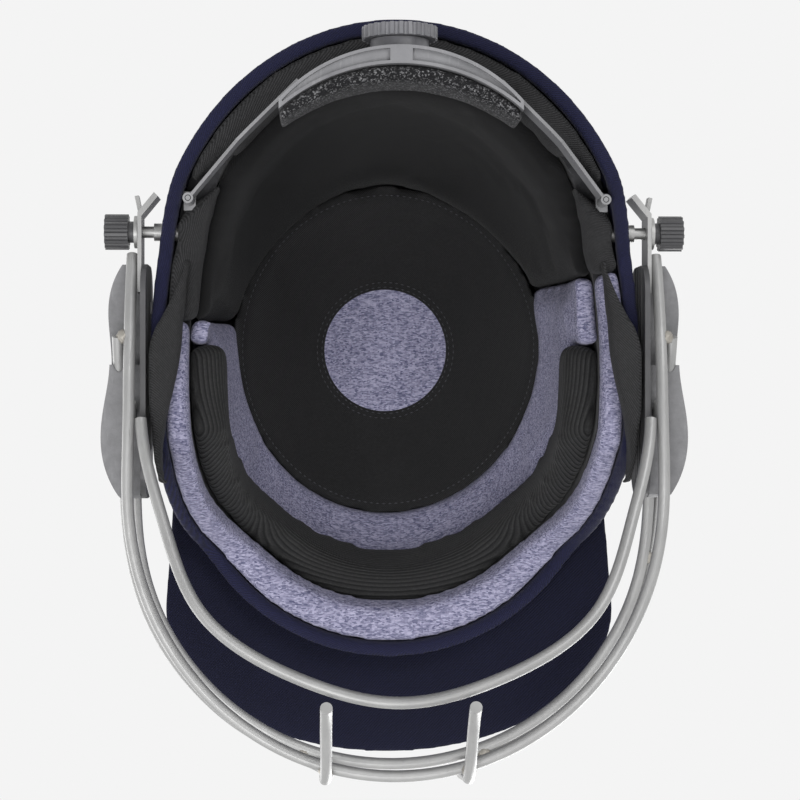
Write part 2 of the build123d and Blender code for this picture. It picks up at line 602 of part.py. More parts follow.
dial = Pos(0, dial_y, DIAL_Z) * Rot(-90, 0, 0) * extrude(dial_face, DIAL_LENGTH)
dial -= along_y(SHAFT_RADIUS, dial_y - GAP, dial_y + DIAL_LENGTH / 2, 0, DIAL_Z)
nodes["dial_knob"] = dial
ratchet_y = shaft_in_y + GAP
ratchet_face = Circle(RATCHET_RADIUS) - Circle(SHAFT_RADIUS)
for k in range(RATCHET_TEETH):
    ratchet_face -= Rot(0, 0, 360 * k / RATCHET_TEETH) * Pos(RATCHET_RADIUS, 0) * Circle(RATCHET_TOOTH_RADIUS)
nodes["dial_ratchet"] = Pos(0, ratchet_y, DIAL_Z) * Rot(-90, 0, 0) * extrude(ratchet_face, RATCHET_THICK)
nodes["dial_shaft"] = along_y(SHAFT_RADIUS, shaft_in_y, dial_y + DIAL_LENGTH / 2, 0, DIAL_Z)
click_ring = Circle(CLICK_IN_RADIUS + CLICK_THICK) - Circle(CLICK_IN_RADIUS)
click_ring &= Pos(CLICK_IN_RADIUS, 0) * Rectangle(CLICK_IN_RADIUS * 2, CLICK_IN_RADIUS * 4)
nodes["click_spring"] = Pos(0, ratchet_y, DIAL_Z) * Rot(-90, 0, 0) * extrude(click_ring, RATCHET_THICK)

foam_out_y = CRADLE_IN_Y - GAP
foam_end_out_y = CRADLE_END_IN_Y - GAP
foam_outer = ThreePointArc(
    (-CRADLE_END_X, foam_end_out_y), (0, foam_out_y), (CRADLE_END_X, foam_end_out_y)
)
foam_inner = ThreePointArc(
    (-CRADLE_END_X, foam_end_out_y - NECK_FOAM_THICK),
    (0, foam_out_y - NECK_FOAM_THICK),
    (CRADLE_END_X, foam_end_out_y - NECK_FOAM_THICK),
)
foam_ends = [
    Line((side, foam_end_out_y), (side, foam_end_out_y - NECK_FOAM_THICK))
    for side in (CRADLE_END_X, -CRADLE_END_X)
]
foam_edges = [*foam_outer.edges(), *foam_inner.edges()] + [e for line in foam_ends for e in line.edges()]
neck_foam = Pos(0, 0, NECK_FOAM_LOW_Z) * extrude(make_face(foam_edges), NECK_FOAM_TOP_Z - NECK_FOAM_LOW_Z)
nodes["neck_foam"] = neck_foam

os.makedirs("parts", exist_ok=True)
for name, piece in nodes.items():
    placed = Pos(0, CENTRE_SHIFT_Y, 0) * piece
    solids = placed.solids()
    kept = solids[0] if len(solids) == 1 else Compound(children=list(solids))
    export_step(kept, f"parts/{name}.step")
    box = placed.bounding_box()
    print(name, len(solids), [round(v, 1) for v in (*box.min, *box.max)])
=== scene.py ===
# %% [markdown]
# # A cricket helmet seen from below
# The rigid pieces come from the CAD frame: wires, brackets, screws, ear guards and the size dial.
# The cloth, padding and foam are made here, because a solid block never looks like sewn fabric.
# Sizes are in metres, in the CAD's own frame: X across the helmet, Y to its back and Z up.

import math

import bmesh
import bpy
import numpy as np
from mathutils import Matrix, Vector
from mathutils.bvhtree import BVHTree


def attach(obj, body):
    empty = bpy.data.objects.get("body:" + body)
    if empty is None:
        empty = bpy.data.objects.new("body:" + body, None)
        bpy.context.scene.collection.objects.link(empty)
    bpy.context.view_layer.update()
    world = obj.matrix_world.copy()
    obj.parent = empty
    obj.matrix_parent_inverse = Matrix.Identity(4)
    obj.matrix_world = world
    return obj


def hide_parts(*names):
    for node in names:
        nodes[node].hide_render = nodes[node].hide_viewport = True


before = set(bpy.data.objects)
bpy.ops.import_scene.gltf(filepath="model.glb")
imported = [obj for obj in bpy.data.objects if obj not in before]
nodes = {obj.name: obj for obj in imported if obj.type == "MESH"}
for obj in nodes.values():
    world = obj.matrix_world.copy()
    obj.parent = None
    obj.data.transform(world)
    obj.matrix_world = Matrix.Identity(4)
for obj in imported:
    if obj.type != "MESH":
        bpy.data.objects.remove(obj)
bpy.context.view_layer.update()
MM = 0.001
SHIFT_Y = 2.75  # millimetres that the CAD moved the whole part back, to centre it
print("nodes:", len(nodes))

# %% [markdown]
# ## Colours and small shader helpers
# Every material here starts from a Principled shader. These helpers only add a node, set its plain values
# and join its sockets, so each finish below reads as a short list of what it does.

# %% Shader helpers
FLOAT, VECTOR = "NodeSocketFloat", "NodeSocketVector"
SCREEN_WHITE = 255
# A screen's curve is a straight line below the knee and a power above it.
KNEE, SLOPE, LIFT, POWER = 0.04045, 12.92, 0.055, 2.4


def new_material(name, metallic, roughness):
    """A material with a bare Principled shader."""
    material = bpy.data.materials.new(name)
    material.use_nodes = True
    shader = material.node_tree.nodes["Principled BSDF"]
    shader.inputs["Metallic"].default_value = metallic
    shader.inputs["Roughness"].default_value = roughness
    return material, material.node_tree, shader


def add(tree, kind, **values):
    """A node with plain settings; names with capitals are its input sockets."""
    node = tree.nodes.new(kind)
    for name, value in values.items():
        if name[0].isupper():
            node.inputs[name.replace("_", " ")].default_value = value
        else:
            setattr(node, name, value)
    return node


def colour(red, green, blue):
    """A colour as seen on the screen, 0 to 255, turned into the linear colour that a shader wants."""
    linear = []
    for part in (red, green, blue):
        share = part / SCREEN_WHITE
        linear.append(share / SLOPE if share <= KNEE else ((share + LIFT) / (1 + LIFT)) ** POWER)
    return (*linear, 1.0)


def new_group(name, inputs, outputs):
    """A shader node group with named inputs and outputs."""
    tree = bpy.data.node_groups.new(name, "ShaderNodeTree")
    for label, kind, value in inputs:
        tree.interface.new_socket(label, in_out="INPUT", socket_type=kind).default_value = value
    for label, kind in outputs:
        tree.interface.new_socket(label, in_out="OUTPUT", socket_type=kind)
    return tree, tree.nodes.new("NodeGroupInput"), tree.nodes.new("NodeGroupOutput")


def place_group(tree, group, **values):
    """The group as a node in a material."""
    node = tree.nodes.new("ShaderNodeGroup")
    node.node_tree = group
    for name, value in values.items():
        node.inputs[name.replace("_", " ")].default_value = value
    return node


def math_node(tree, operation, first, second=None, third=None, clamp=False):
    """A Math node fed by sockets or plain numbers."""
    node = add(tree, "ShaderNodeMath", operation=operation, use_clamp=clamp)
    for k, value in enumerate((first, second, third)):
        if value is None:
            continue
        if isinstance(value, (int, float)):
            node.inputs[k].default_value = value
        else:
            tree.links.new(value, node.inputs[k])
    return node.outputs[0]


def blend_colours(tree, share, first, second):
    """Mixes two colours, given as sockets or plain colours."""
    node = add(tree, "ShaderNodeMix", data_type="RGBA")
    for socket, value in ((node.inputs[0], share), (node.inputs[6], first), (node.inputs[7], second)):
        if isinstance(value, (tuple, float)):
            socket.default_value = value
        else:
            tree.links.new(value, socket)
    return node.outputs[2]


def bump_from(tree, height, shader, strength, distance):
    """Feeds a height into the shader's normal."""
    bump = add(tree, "ShaderNodeBump", Strength=strength, Distance=distance)
    tree.links.new(height, bump.inputs["Height"])
    tree.links.new(bump.outputs["Normal"], shader.inputs["Normal"])


print("shader helpers ready")

# %% [markdown]
# ## Wear, as one group for every hard finish
# Used kit is never one even tone: fingers leave soft stains, and fine scratches catch the light. Three
# noises at different sizes make that. A painted image could do it too, but it would need the part
# unwrapped. The noises follow object coordinates, so the marks stay put when the camera moves.

# %% Wear group
SCRATCHES_PER_METRE = 900.0
SCRATCH_SQUEEZE = (1.0, 0.12, 1.0)
SCRATCH_TURN = (0.4, 0.3, 0.5)
SCRATCH_FROM, SCRATCH_TO = 0.62, 0.7
STAIN_SIZE = 0.02
GRAIN_SIZE = 0.0006

wear, wear_in, wear_out = new_group(
    "wear",
    [("Stain Size", FLOAT, STAIN_SIZE), ("Grain Size", FLOAT, GRAIN_SIZE)],
    [("Stain", FLOAT), ("Scratch", FLOAT), ("Grain", FLOAT)],
)
place = add(wear, "ShaderNodeTexCoord").outputs["Object"]
stain = add(wear, "ShaderNodeTexNoise", Detail=6.0, Roughness=0.6)
wear.links.new(place, stain.inputs["Vector"])
wear.links.new(math_node(wear, "DIVIDE", 1.0, wear_in.outputs["Stain Size"]), stain.inputs["Scale"])
wear.links.new(stain.outputs["Fac"], wear_out.inputs["Stain"])
stretch = add(wear, "ShaderNodeMapping", Scale=SCRATCH_SQUEEZE, Rotation=SCRATCH_TURN)
wear.links.new(place, stretch.inputs["Vector"])
scratch = add(wear, "ShaderNodeTexNoise", Scale=SCRATCHES_PER_METRE, Detail=3.0)
wear.links.new(stretch.outputs["Vector"], scratch.inputs["Vector"])
ramp = add(wear, "ShaderNodeMapRange", From_Min=SCRATCH_FROM, From_Max=SCRATCH_TO)
wear.links.new(scratch.outputs["Fac"], ramp.inputs["Value"])
wear.links.new(ramp.outputs["Result"], wear_out.inputs["Scratch"])
grain = add(wear, "ShaderNodeTexNoise", Detail=2.0)
wear.links.new(place, grain.inputs["Vector"])
wear.links.new(math_node(wear, "DIVIDE", 1.0, wear_in.outputs["Grain Size"]), grain.inputs["Scale"])
wear.links.new(grain.outputs["Fac"], wear_out.inputs["Grain"])
print("wear group:", len(wear.nodes), "nodes")

# %% [markdown]
# ## Hard finishes
# The wires are steel with a satin nickel look, and the screws are brighter. The mouldings are plastic: a
# fine grain from the tool, a little dust in the stains, and a roughness that changes with them, because
# hands rub some places smooth.

# %% Metal and plastic
SCRATCH_SHOWN = 0.35
SCRATCH_DEPTH = 0.1
GRAIN_STRENGTH = 0.5


def hard_finish(name, base, worn, metallic, rough, spread, grain_size, depth, stain_size=STAIN_SIZE):
    """A metal or moulded plastic with stains, scratches and grain."""
    material, tree, shader = new_material(name, metallic, rough)
    marks = place_group(tree, wear, Stain_Size=stain_size, Grain_Size=grain_size)
    tone = blend_colours(tree, marks.outputs["Stain"], base, worn)
    scratched = math_node(tree, "MULTIPLY", marks.outputs["Scratch"], SCRATCH_SHOWN)
    tree.links.new(blend_colours(tree, scratched, tone, worn), shader.inputs["Base Color"])
    roughness = math_node(tree, "MULTIPLY_ADD", marks.outputs["Stain"], spread, rough - spread / 2)
    tree.links.new(roughness, shader.inputs["Roughness"])
    scored = math_node(tree, "MULTIPLY", marks.outputs["Scratch"], SCRATCH_DEPTH)
    height = math_node(tree, "SUBTRACT", marks.outputs["Grain"], scored)
    bump_from(tree, height, shader, GRAIN_STRENGTH, depth)
    return material


satin_wire = hard_finish(
    "satin_wire", colour(168, 168, 167), colour(134, 134, 134),
    metallic=0.45, rough=0.42, spread=0.12, grain_size=0.0016, depth=0.00003,
)
bright_steel = hard_finish(
    "bright_steel", colour(190, 190, 188), colour(140, 140, 140),
    metallic=0.85, rough=0.34, spread=0.14, grain_size=0.0006, depth=0.00003,
)
weld_steel = hard_finish(
    "weld_steel", colour(172, 169, 162), colour(126, 120, 112),
    metallic=0.5, rough=0.45, spread=0.2, grain_size=0.0012, depth=0.0002, stain_size=0.004,
)
ear_plastic = hard_finish(
    "ear_plastic", colour(84, 84, 86), colour(130, 130, 132),
    metallic=0.0, rough=0.55, spread=0.16, grain_size=0.0007, depth=0.00012, stain_size=0.004,
)
black_plastic = hard_finish(
    "black_plastic", colour(44, 44, 46), colour(78, 78, 80),
    metallic=0.0, rough=0.42, spread=0.16, grain_size=0.0005, depth=0.00006,
)
dial_plastic = hard_finish(
    "dial_plastic", colour(92, 92, 96), colour(138, 138, 142),
    metallic=0.0, rough=0.4, spread=0.14, grain_size=0.0005, depth=0.00005,
)
cradle_plastic = hard_finish(
    "cradle_plastic", colour(104, 104, 108), colour(158, 158, 160),
    metallic=0.0, rough=0.45, spread=0.14, grain_size=0.0006, depth=0.00005,
)
strap_plastic = hard_finish(
    "strap_plastic", colour(112, 112, 114), colour(150, 150, 152),
    metallic=0.0, rough=0.45, spread=0.1, grain_size=0.0005, depth=0.00005,
)
shell_plastic = hard_finish(
    "shell_plastic", colour(20, 21, 40), colour(34, 35, 58),
    metallic=0.0, rough=0.35, spread=0.1, grain_size=0.0008, depth=0.00005,
)
print("hard finishes made")

# %% [markdown]
# ## Cloth finishes
# A weave is drawn from true places, in metres. On the sides of the head the cloth runs round it, so the
# angle about the upright axis times the radius gives one thread direction and height gives the other.
# Overhead the cloth lies flat, so plain X and Y do the same. Height less radius runs on evenly where a pad
# turns from its upright face to its lower one. Each cloth says whether it lies flat.

# %% Thread directions
HEAD_MIDDLE_Y = 0.02
HEAD_RADIUS = 0.09

lay, lay_in, lay_out = new_group(
    "cloth_lay", [("Flat", FLOAT, 0.0)], [("Along", FLOAT), ("Across", FLOAT), ("Place", VECTOR)]
)
spot = add(lay, "ShaderNodeTexCoord").outputs["Object"]
split = add(lay, "ShaderNodeSeparateXYZ")
lay.links.new(spot, split.inputs[0])
from_middle = math_node(lay, "SUBTRACT", split.outputs["Y"], HEAD_MIDDLE_Y)
turn = math_node(lay, "ARCTAN2", from_middle, split.outputs["X"])
round_way = math_node(lay, "MULTIPLY", turn, HEAD_RADIUS)


def either(tree, switch, wall, flat):
    """The wall value, or the flat one where switch is 1."""
    node = add(tree, "ShaderNodeMix", data_type="FLOAT")
    tree.links.new(switch, node.inputs[0])
    tree.links.new(wall, node.inputs[2])
    tree.links.new(flat, node.inputs[3])
    return node.outputs[0]


x_squared = math_node(lay, "POWER", split.outputs["X"], 2.0)
y_squared = math_node(lay, "POWER", from_middle, 2.0)
radius = math_node(lay, "SQRT", math_node(lay, "ADD", x_squared, y_squared))
upward = math_node(lay, "SUBTRACT", split.outputs["Z"], radius)
is_flat = lay_in.outputs["Flat"]
lay.links.new(either(lay, is_flat, round_way, split.outputs["X"]), lay_out.inputs["Along"])
lay.links.new(either(lay, is_flat, upward, split.outputs["Y"]), lay_out.inputs["Across"])
lay.links.new(spot, lay_out.inputs["Place"])
print("cloth_lay group:", len(lay.nodes), "nodes")

# %% [markdown]
# Twill has diagonal ribs, and each thread stands a little over the next. Both are sine waves of the two
# thread directions. A rib knit has ribs one way only, so its Lengthwise share is nothing.

# %% Weave group
CROSS_THREADS = 0.35
MASK_SCALE, MASK_MIDDLE = 0.37, 0.5
USUAL_THREAD = 0.0008

weave, weave_in, weave_out = new_group(
    "weave",
    [
        ("Along", FLOAT, 0.0),
        ("Across", FLOAT, 0.0),
        ("Thread", FLOAT, USUAL_THREAD),
        ("Slant", FLOAT, 1.0),
        ("Lengthwise", FLOAT, 1.0),
    ],
    [("Height", FLOAT), ("Mask", FLOAT)],
)
per_metre = math_node(weave, "DIVIDE", 2 * math.pi, weave_in.outputs["Thread"])
along = math_node(weave, "MULTIPLY", weave_in.outputs["Along"], per_metre)
along = math_node(weave, "MULTIPLY", along, weave_in.outputs["Lengthwise"])
across = math_node(weave, "MULTIPLY", weave_in.outputs["Across"], per_metre)
slanted = math_node(weave, "ADD", along, math_node(weave, "MULTIPLY", across, weave_in.outputs["Slant"]))
rib = math_node(weave, "SINE", slanted)
thread_wave = math_node(weave, "SINE", math_node(weave, "MULTIPLY", across, 2.0))
waves = math_node(weave, "ADD", rib, math_node(weave, "MULTIPLY", thread_wave, CROSS_THREADS))
weave.links.new(waves, weave_out.inputs["Height"])
weave.links.new(math_node(weave, "MULTIPLY_ADD", waves, MASK_SCALE, MASK_MIDDLE), weave_out.inputs["Mask"])
print("weave group:", len(weave.nodes), "nodes")

# %% [markdown]
# Real thread is uneven, so a fine noise varies each rib, and a broad one lets the whole cloth fade a
# little. A sheen stands for the loose fibres that catch light at the edge of a fold.

# %% Woven cloths
SLUB = 0.0012
FADES_PER_METRE = 28.0
FADE = 0.35
SLUB_HEIGHT = 1.5
CLOTH_SHINE = 0.25
WEAVE_STRENGTH = 0.7


def woven(name, dark, light, thread, flat, rough, depth, fuzz=0.06, lengthwise=1.0):
    """A woven cloth with ribs, uneven threads and a soft sheen."""
    material, tree, shader = new_material(name, 0.0, rough)
    ways = place_group(tree, lay, Flat=flat)
    cloth = place_group(tree, weave, Thread=thread, Lengthwise=lengthwise)
    tree.links.new(ways.outputs["Along"], cloth.inputs["Along"])
    tree.links.new(ways.outputs["Across"], cloth.inputs["Across"])
    uneven = add(tree, "ShaderNodeTexNoise", Scale=1 / SLUB, Detail=4.0, Roughness=0.65)
    tree.links.new(ways.outputs["Place"], uneven.inputs["Vector"])
    broad = add(tree, "ShaderNodeTexNoise", Scale=FADES_PER_METRE, Detail=3.0)
    tree.links.new(ways.outputs["Place"], broad.inputs["Vector"])
    share = math_node(tree, "MULTIPLY", cloth.outputs["Mask"], uneven.outputs["Fac"], clamp=True)
    tone = blend_colours(tree, share, dark, light)
    faded = blend_colours(tree, math_node(tree, "MULTIPLY", broad.outputs["Fac"], FADE), tone, dark)
    tree.links.new(faded, shader.inputs["Base Color"])
    shader.inputs["Sheen Weight"].default_value = fuzz
    shader.inputs["Sheen Roughness"].default_value = 0.5
    shader.inputs["Specular IOR Level"].default_value = CLOTH_SHINE
    slubs = math_node(tree, "MULTIPLY", uneven.outputs["Fac"], SLUB_HEIGHT)
    height = math_node(tree, "ADD", cloth.outputs["Height"], slubs)
    bump_from(tree, height, shader, WEAVE_STRENGTH, depth)
    return material


navy_cloth = woven(
    "navy_cloth", colour(13, 14, 34), colour(32, 35, 82), thread=0.0010, flat=0.0, rough=0.8, depth=0.00014
)
peak_cloth = woven(
    "peak_cloth", colour(7, 8, 24), colour(26, 29, 64),
    thread=0.0014, flat=1.0, rough=0.85, depth=0.0002, fuzz=0.02,
)
side_twill = woven(
    "side_twill", colour(17, 17, 18), colour(82, 82, 84), thread=0.0011, flat=0.0, rough=0.75, depth=0.0002
)
# The rear wall's cloth is the black twill again, with a light colour far darker than on the sides. That is
# the cloth's own black plus painted shade for the hollow it lies in.
wall_cloth = woven(
    "wall_cloth", colour(13, 13, 14), colour(32, 32, 33), thread=0.0008, flat=0.0, rough=0.85, depth=0.0001
)
crown_mesh = woven(
    "crown_mesh", colour(17, 17, 18), colour(62, 62, 63), thread=0.0010, flat=1.0, rough=0.85, depth=0.00016
)
rib_knit = woven(
    "rib_knit", colour(13, 13, 14), colour(70, 70, 70),
    thread=0.0019, flat=0.0, rough=0.75, depth=0.0003, lengthwise=0.0,
)
print("woven cloths made")

# %% [markdown]
# The pale inner knit is a heather yarn: each small loop is either nearly white or slate blue. Voronoi cells
# stretched a little make loops of the right size, and each cell's own random colour picks the yarn. Foam
# that is pressed from crumbs looks alike, with rounder and darker cells.

# %% Heather knit and speckled foam
CLOUDS_PER_METRE = 420.0
CLOUD_SHARE = 0.9
SPECKLE_STRENGTH = 0.8
TWISTS_PER_METRE = 2500.0
EVEN = (1.0, 1.0, 1.0)


def speckled(name, pale, deep, spot_size, low, high, rough, depth, stretched=EVEN):
    """Two mixed colours in small cells, for heather yarn or foam crumb."""
    material, tree, shader = new_material(name, 0.0, rough)
    spots = add(tree, "ShaderNodeTexCoord").outputs["Object"]
    mapping = add(tree, "ShaderNodeMapping", Scale=stretched)
    tree.links.new(spots, mapping.inputs["Vector"])
    cells = add(tree, "ShaderNodeTexVoronoi", Scale=1 / spot_size, Randomness=0.9)
    tree.links.new(mapping.outputs["Vector"], cells.inputs["Vector"])
    random = add(tree, "ShaderNodeSeparateColor")
    tree.links.new(cells.outputs["Color"], random.inputs[0])
    clouds = add(tree, "ShaderNodeTexNoise", Scale=CLOUDS_PER_METRE, Detail=5.0, Roughness=0.7)
    tree.links.new(mapping.outputs["Vector"], clouds.inputs["Vector"])
    cloudy = math_node(tree, "MULTIPLY", clouds.outputs["Fac"], CLOUD_SHARE)
    pick = add(tree, "ShaderNodeMapRange", From_Min=low, From_Max=high)
    tree.links.new(math_node(tree, "ADD", random.outputs[0], cloudy), pick.inputs["Value"])
    tree.links.new(blend_colours(tree, pick.outputs["Result"], deep, pale), shader.inputs["Base Color"])
    shader.inputs["Sheen Weight"].default_value = 0.08
    shader.inputs["Specular IOR Level"].default_value = 0.2
    round_loop = math_node(tree, "SUBTRACT", 1.0, cells.outputs["Distance"])
    bump_from(tree, round_loop, shader, SPECKLE_STRENGTH, depth)
    return material


heather = speckled(
    "heather", colour(168, 166, 190), colour(80, 81, 108),
    spot_size=0.00055, low=0.4, high=1.55, rough=0.85, depth=0.0003, stretched=(0.4, 1.0, 1.0),
)
crumb_foam = speckled(
    "crumb_foam", colour(150, 150, 152), colour(33, 33, 35),
    spot_size=0.0006, low=1.1, high=1.6, rough=0.8, depth=0.0003,
)
liner_foam = speckled(
    "liner_foam", colour(58, 58, 60), colour(44, 44, 46),
    spot_size=0.003, low=0.5, high=1.3, rough=0.8, depth=0.0002,
)
thread, thread_tree, thread_shader = new_material("stitch_thread", 0.0, 0.7)
twist = add(thread_tree, "ShaderNodeTexNoise", Scale=TWISTS_PER_METRE, Detail=2.0)
thread_tree.links.new(
    blend_colours(thread_tree, twist.outputs["Fac"], colour(36, 36, 40), colour(84, 84, 90)),
    thread_shader.inputs["Base Color"],
)
bump_from(thread_tree, twist.outputs["Fac"], thread_shader, strength=0.4, distance=0.0002)
print("speckled finishes and thread made")

# %% [markdown]
# ## The hard pieces keep their CAD shape
# Wires, brackets, screws, mouldings and dial are already right in shape, so they stay CAD nodes. They get
# the finishes above, and the brackets, thumb knobs and washers, ear guards and their inner plates, cradle
# and dial get a small bevel, because a real edge is never perfectly sharp.

# %% Dress the CAD nodes
FINISHES = [
    (satin_wire, ["frame_bar", "upper_bar", "chin_bar", "upright", "bracket"]),
    (bright_steel, ["thumb_washer", "thumb_stud", "ear_guard_screws", "tee_nut", "dial_shaft", "click"]),
    (black_plastic, ["thumb_knob", "ear_inner_plate"]),
    (dial_plastic, ["dial_knob", "dial_housing", "dial_ratchet"]),
    (cradle_plastic, ["cradle"]),
    (strap_plastic, ["adjuster_strap", "strap_anchor"]),
    (ear_plastic, ["ear_guard_left", "ear_guard_right"]),
    (shell_plastic, ["hard_shell", "peak_board"]),
    (liner_foam, ["foam_liner"]),
]
BEVELLED = (
    "bracket", "thumb_knob", "thumb_washer", "ear_guard_left", "ear_guard_right", "ear_inner", "cradle",
    "dial_knob", "dial_housing",
)
BEVEL = 0.0005
SHARP_DEGREES = 40
dressed = []
for material, starts in FINISHES:
    for name, piece in nodes.items():
        if name.startswith(tuple(starts)):
            for slot in piece.material_slots:
                slot.material = material
            dressed.append(name)
for name in dressed:
    if name.startswith(BEVELLED):
        bevel = nodes[name].modifiers.new("edge", "BEVEL")
        bevel.width = BEVEL
        bevel.segments = 2
        bevel.limit_method = "ANGLE"
        bevel.angle_limit = math.radians(SHARP_DEGREES)
print("dressed", len(dressed), "CAD nodes")

# %% [markdown]
# ## Padded pieces
# A pad is a closed bag that swells where nothing holds it. So each starts as a copy of its CAD solid with
# even faces from a voxel remesh, a cloth simulation with air pressure fills it, and the swelling is kept
# only on the side that faces the head. The backs stay where the shell and the foam hold them. Sculpting
# would do as well, but a simulation gives the same fullness to every pad.

# %% Padding helpers
HEAD_CENTRE = np.array((0, 0.03, 0.09))
SMOOTH_SHARE = 0.5
EDGE_ROUNDS = 2
SETTLE_ROUNDS = 4
PRESSURE = 4.0
CLOTH_QUALITY = 4
LAST_FRAME = 20
PAD_VOXEL = 0.0034
PAD_SWELL = 0.003
PAD_PRESS = 0.0004
TINY = 1e-9


def placed(name, data):
    """An object with this data, put in the scene."""
    piece = bpy.data.objects.new(name, data)
    bpy.context.collection.objects.link(piece)
    return piece


def built(name, work):
    """The faces in work, as an object."""
    mesh = bpy.data.meshes.new(name)
    work.to_mesh(mesh)
    work.free()
    return placed(name, mesh)


def free_copy(name, *node_names):
    """One object made of copies of these CAD nodes' meshes."""
    work = bmesh.new()
    for node_name in node_names:
        work.from_mesh(nodes[node_name].data)
    bmesh.ops.triangulate(work, faces=work.faces)
    return built(name, work)


def apply_modifiers(piece):
    """Bakes the piece's modifiers into its mesh."""
    graph = bpy.context.evaluated_depsgraph_get()
    mesh = bpy.data.meshes.new_from_object(piece.evaluated_get(graph))
    piece.modifiers.clear()
    piece.data = mesh


def smooth_faces(piece):
    """Lets the shading run on from face to face."""
    for face in piece.data.polygons:
        face.use_smooth = True


def soften(piece, rounds):
    """Evens out the piece's bumps and edges."""
    smooth = piece.modifiers.new("soften", "SMOOTH")
    smooth.iterations = rounds
    smooth.factor = SMOOTH_SHARE
    apply_modifiers(piece)


def remeshed(piece, voxel, rounds):
    """Even faces all over, with softened edges."""
    remesh = piece.modifiers.new("even", "REMESH")
    remesh.mode = "VOXEL"
    remesh.voxel_size = voxel
    soften(piece, rounds)


def points_of(mesh):
    """The mesh's points, one row each."""
    points = np.empty(len(mesh.vertices) * 3)
    mesh.vertices.foreach_get("co", points)
    return points.reshape(-1, 3)


def dress(piece, material, body, replaces):
    """Finish, body and the CAD nodes that the piece stands for."""
    piece.data.materials.clear()
    piece.data.materials.append(material)
    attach(piece, body)
    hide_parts(*replaces)


def swell(piece, limit):
    """Fills the piece with air and keeps the swelling on the side that faces the head."""
    start = points_of(piece.data)
    normals = np.array([v.normal[:] for v in piece.data.vertices])
    cloth = piece.modifiers.new("fill", "CLOTH")
    cloth.settings.use_pressure = True
    cloth.settings.uniform_pressure_force = PRESSURE
    cloth.settings.effector_weights.gravity = 0
    cloth.settings.quality = CLOTH_QUALITY
    for step in range(1, LAST_FRAME + 1):
        bpy.context.scene.frame_set(step)
    apply_modifiers(piece)
    moved = points_of(piece.data) - start
    length = np.linalg.norm(moved, axis=1, keepdims=True)
    moved *= np.minimum(1, limit / np.maximum(length, TINY))
    inward = HEAD_CENTRE - start
    inward /= np.linalg.norm(inward, axis=1, keepdims=True)
    free = np.clip((normals * inward).sum(1), 0, 1)[:, None]
    piece.data.vertices.foreach_set("co", (start + moved * free).ravel())
    soften(piece, SETTLE_ROUNDS)


def padded_piece(name, node_name, material, slot_name, body="helmet", voxel=PAD_VOXEL, limit=PAD_SWELL):
    """A swollen pad in its CAD solid's place, grown a little so that it presses on its neighbours."""
    piece = free_copy(name, node_name)
    remeshed(piece, voxel, EDGE_ROUNDS)
    swell(piece, limit)
    smooth_faces(piece)
    dress(piece, material, body, [node_name])
    press = piece.modifiers.new("press", "DISPLACE")
    press.strength = PAD_PRESS
    press.mid_level = 0
    finer = piece.modifiers.new("finer", "SUBSURF")
    finer.levels = 1
    finer.render_levels = 1
    print(name, "faces", len(piece.data.polygons))
    return piece


# %% [markdown]
# Each pad of the real helmet is a bag of cloth round a foam core. The brow cushion and the front wall get
# finer faces, because their pale edges show every step, and so do the small pieces. The thin crown pad and
# the adjuster's foam swell least.

# %% Pads of the liner
PADS = [
    ("brow_cushion_cloth", "brow_cushion", heather, "speckled_knit", {"voxel": 0.0022}),
    ("rear_band_cloth", "rear_comfort_band", side_twill, "black_twill", {}),
    ("side_band_left_cloth", "side_band_left", side_twill, "black_twill", {}),
    ("side_band_right_cloth", "side_band_right", side_twill, "black_twill", {}),
    ("sweatband_cloth", "sweatband", rib_knit, "black_mesh", {"limit": 0.002}),
    ("front_wall_cloth", "front_wall_pad", heather, "speckled_knit", {"voxel": 0.0026}),
    # the rear wall gets the darker twill, whose extra darkness is painted shade
    ("rear_wall_cloth", "rear_wall_pad", wall_cloth, "black_twill", {}),
    ("crown_cloth", "crown_pad", crown_mesh, "black_twill", {"limit": 0.001}),
    ("side_pad_left_cloth", "side_pad_left", side_twill, "black_twill", {"voxel": 0.002}),
    ("side_pad_right_cloth", "side_pad_right", side_twill, "black_twill", {"voxel": 0.002}),
    (
        "neck_foam_pad", "neck_foam", crumb_foam, "speckled_foam",
        {"body": "adjuster", "voxel": 0.0025, "limit": 0.0008},
    ),
]
pads = {}
for name, node_name, material, slot_name, special in PADS:
    pads[name] = padded_piece(name, node_name, material, slot_name, **special)
print("pads:", len(pads))

# %% [markdown]
# The side pads are widest at the ear. Towards the brow they run out to a point under the rim, and towards
# the back they narrow into the comfort band and leave the rim free. So one side of each slice is drawn to
# the other.

# %% Taper of the side pads
FRONT_WIDE, FRONT_TIP = 0.03, -0.032
REAR_WIDE, REAR_TIP = 0.022, 0.06
TIP_SHARE, SLICE = 0.12, 0.004


def drawn_in(points, wide, tip, keep_outer):
    """Narrows the slices between wide and tip along Y, towards their outer or their inner side."""
    slices = np.floor(points[:, 1] / SLICE).astype(int)
    share = np.clip((points[:, 1] - tip) / (wide - tip), 0, 1)
    share = TIP_SHARE + (1 - TIP_SHARE) * share * share * (3 - 2 * share)
    for cut in np.unique(slices):
        inside = slices == cut
        reach = np.abs(points[inside, 0])
        kept = points[inside, 0][reach.argmax() if keep_outer else reach.argmin()]
        points[inside, 0] = kept + (points[inside, 0] - kept) * share[inside]


for name in ("side_pad_left_cloth", "side_pad_right_cloth"):
    mesh = pads[name].data
    points = points_of(mesh)
    drawn_in(points, FRONT_WIDE, FRONT_TIP, True)
    drawn_in(points, REAR_WIDE, REAR_TIP, False)
    mesh.vertices.foreach_set("co", points.ravel())
    mesh.update()
print("side pads drawn in from", FRONT_TIP, "to", REAR_TIP)

# %% [markdown]
# ## Rim binding and peak
# The binding is a folded tape over the lower edge of the cover. The peak is a stiff board in a tight cloth
# bag, so its edge is round. Both are remeshed copies of their solids with the edges softened.

# %% Binding and peak
TAPE_VOXEL = 0.0013
FINE_VOXEL = 0.0011
TRIM_ROUNDS = 3

